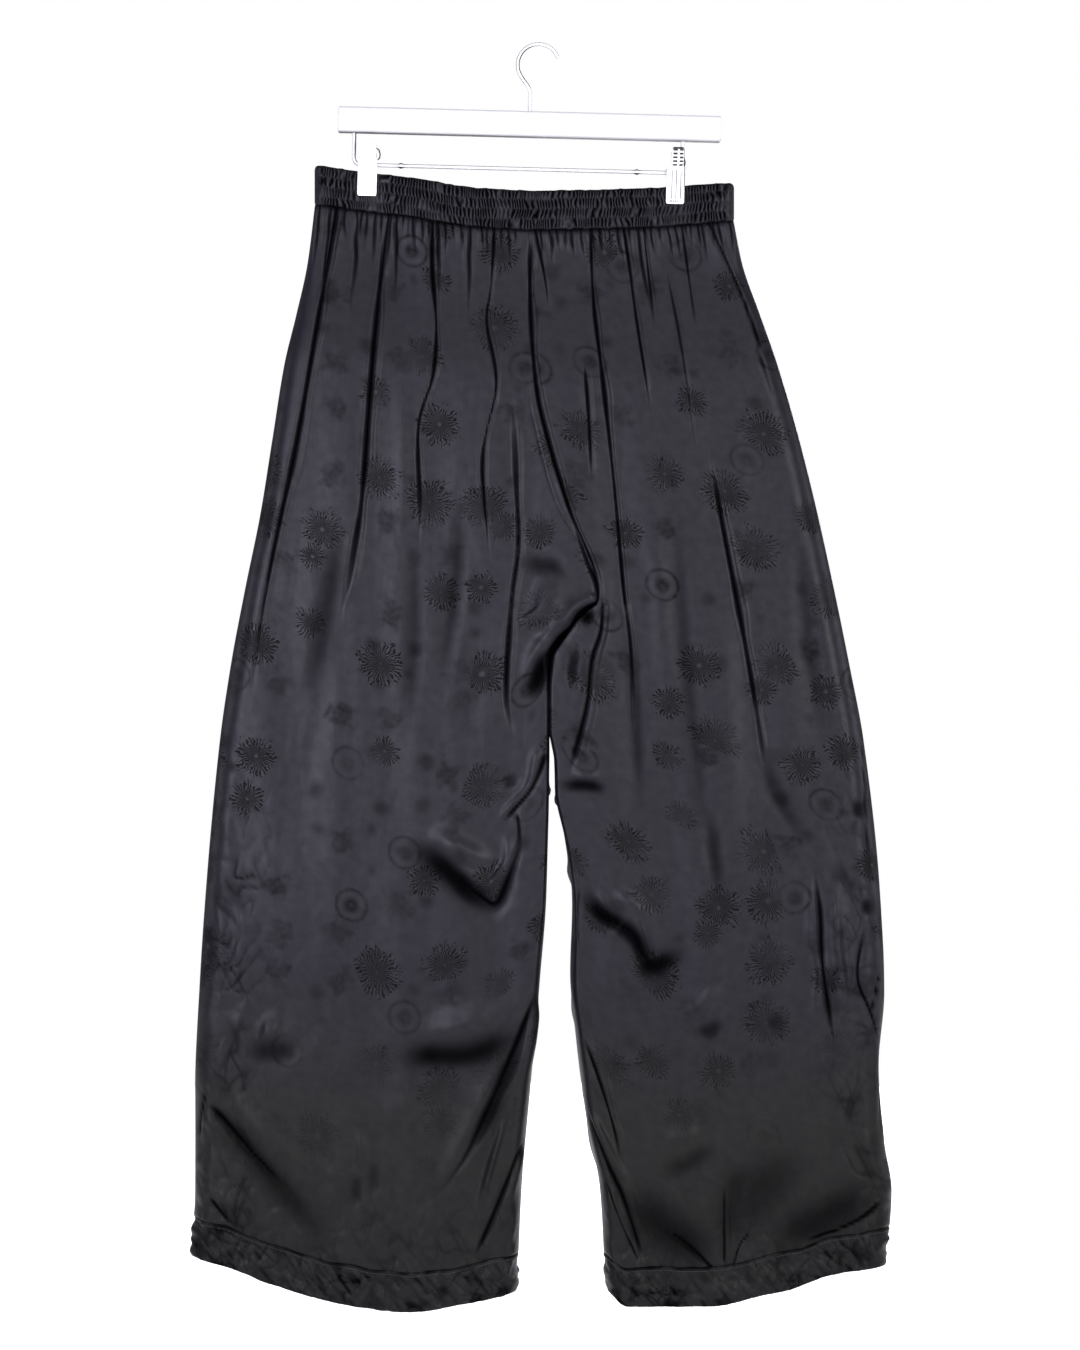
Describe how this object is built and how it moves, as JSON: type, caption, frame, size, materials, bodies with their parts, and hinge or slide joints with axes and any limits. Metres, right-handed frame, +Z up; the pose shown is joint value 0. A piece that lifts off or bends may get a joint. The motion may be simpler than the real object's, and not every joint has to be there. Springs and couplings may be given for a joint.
{
  "type": "wide-leg pull-on trousers on a clip hanger",
  "caption": "Wide-leg pull-on trousers in dark patterned satin, with a gathered elastic waistband and deep stitched hems, hung by the waist from a white wooden clip hanger.",
  "frame": {"origin": "the top of the inside of the hanger's hook, where a rail bears", "axes": "+Z up, +X to the right as the front is seen, +Y to the back, so the front faces -Y"},
  "size_m": [0.6433, 0.0718, 1.1634],
  "materials": {
    "satin": "soft satin with a tone-on-tone woven pattern",
    "gathered_satin": "soft satin gathered over elastic",
    "painted_wood": "white satin paint",
    "chrome": "polished"
  },
  "bodies": {
    "root": {"front_panel_left": "satin", "front_panel_right": "satin", "back_panel_left": "satin", "back_panel_right": "satin", "hem_left": "satin", "hem_right": "satin", "waistband_front": "gathered_satin", "waistband_back": "gathered_satin", "hanger_bar": "painted_wood", "hanger_hook": "chrome", "hanger_rod": "chrome", "clip_left_front_jaw": "chrome", "clip_left_back_jaw": "chrome", "clip_left_spring": "chrome", "clip_right_front_jaw": "chrome", "clip_right_back_jaw": "chrome", "clip_right_spring": "chrome"}
  },
  "joints": []
}
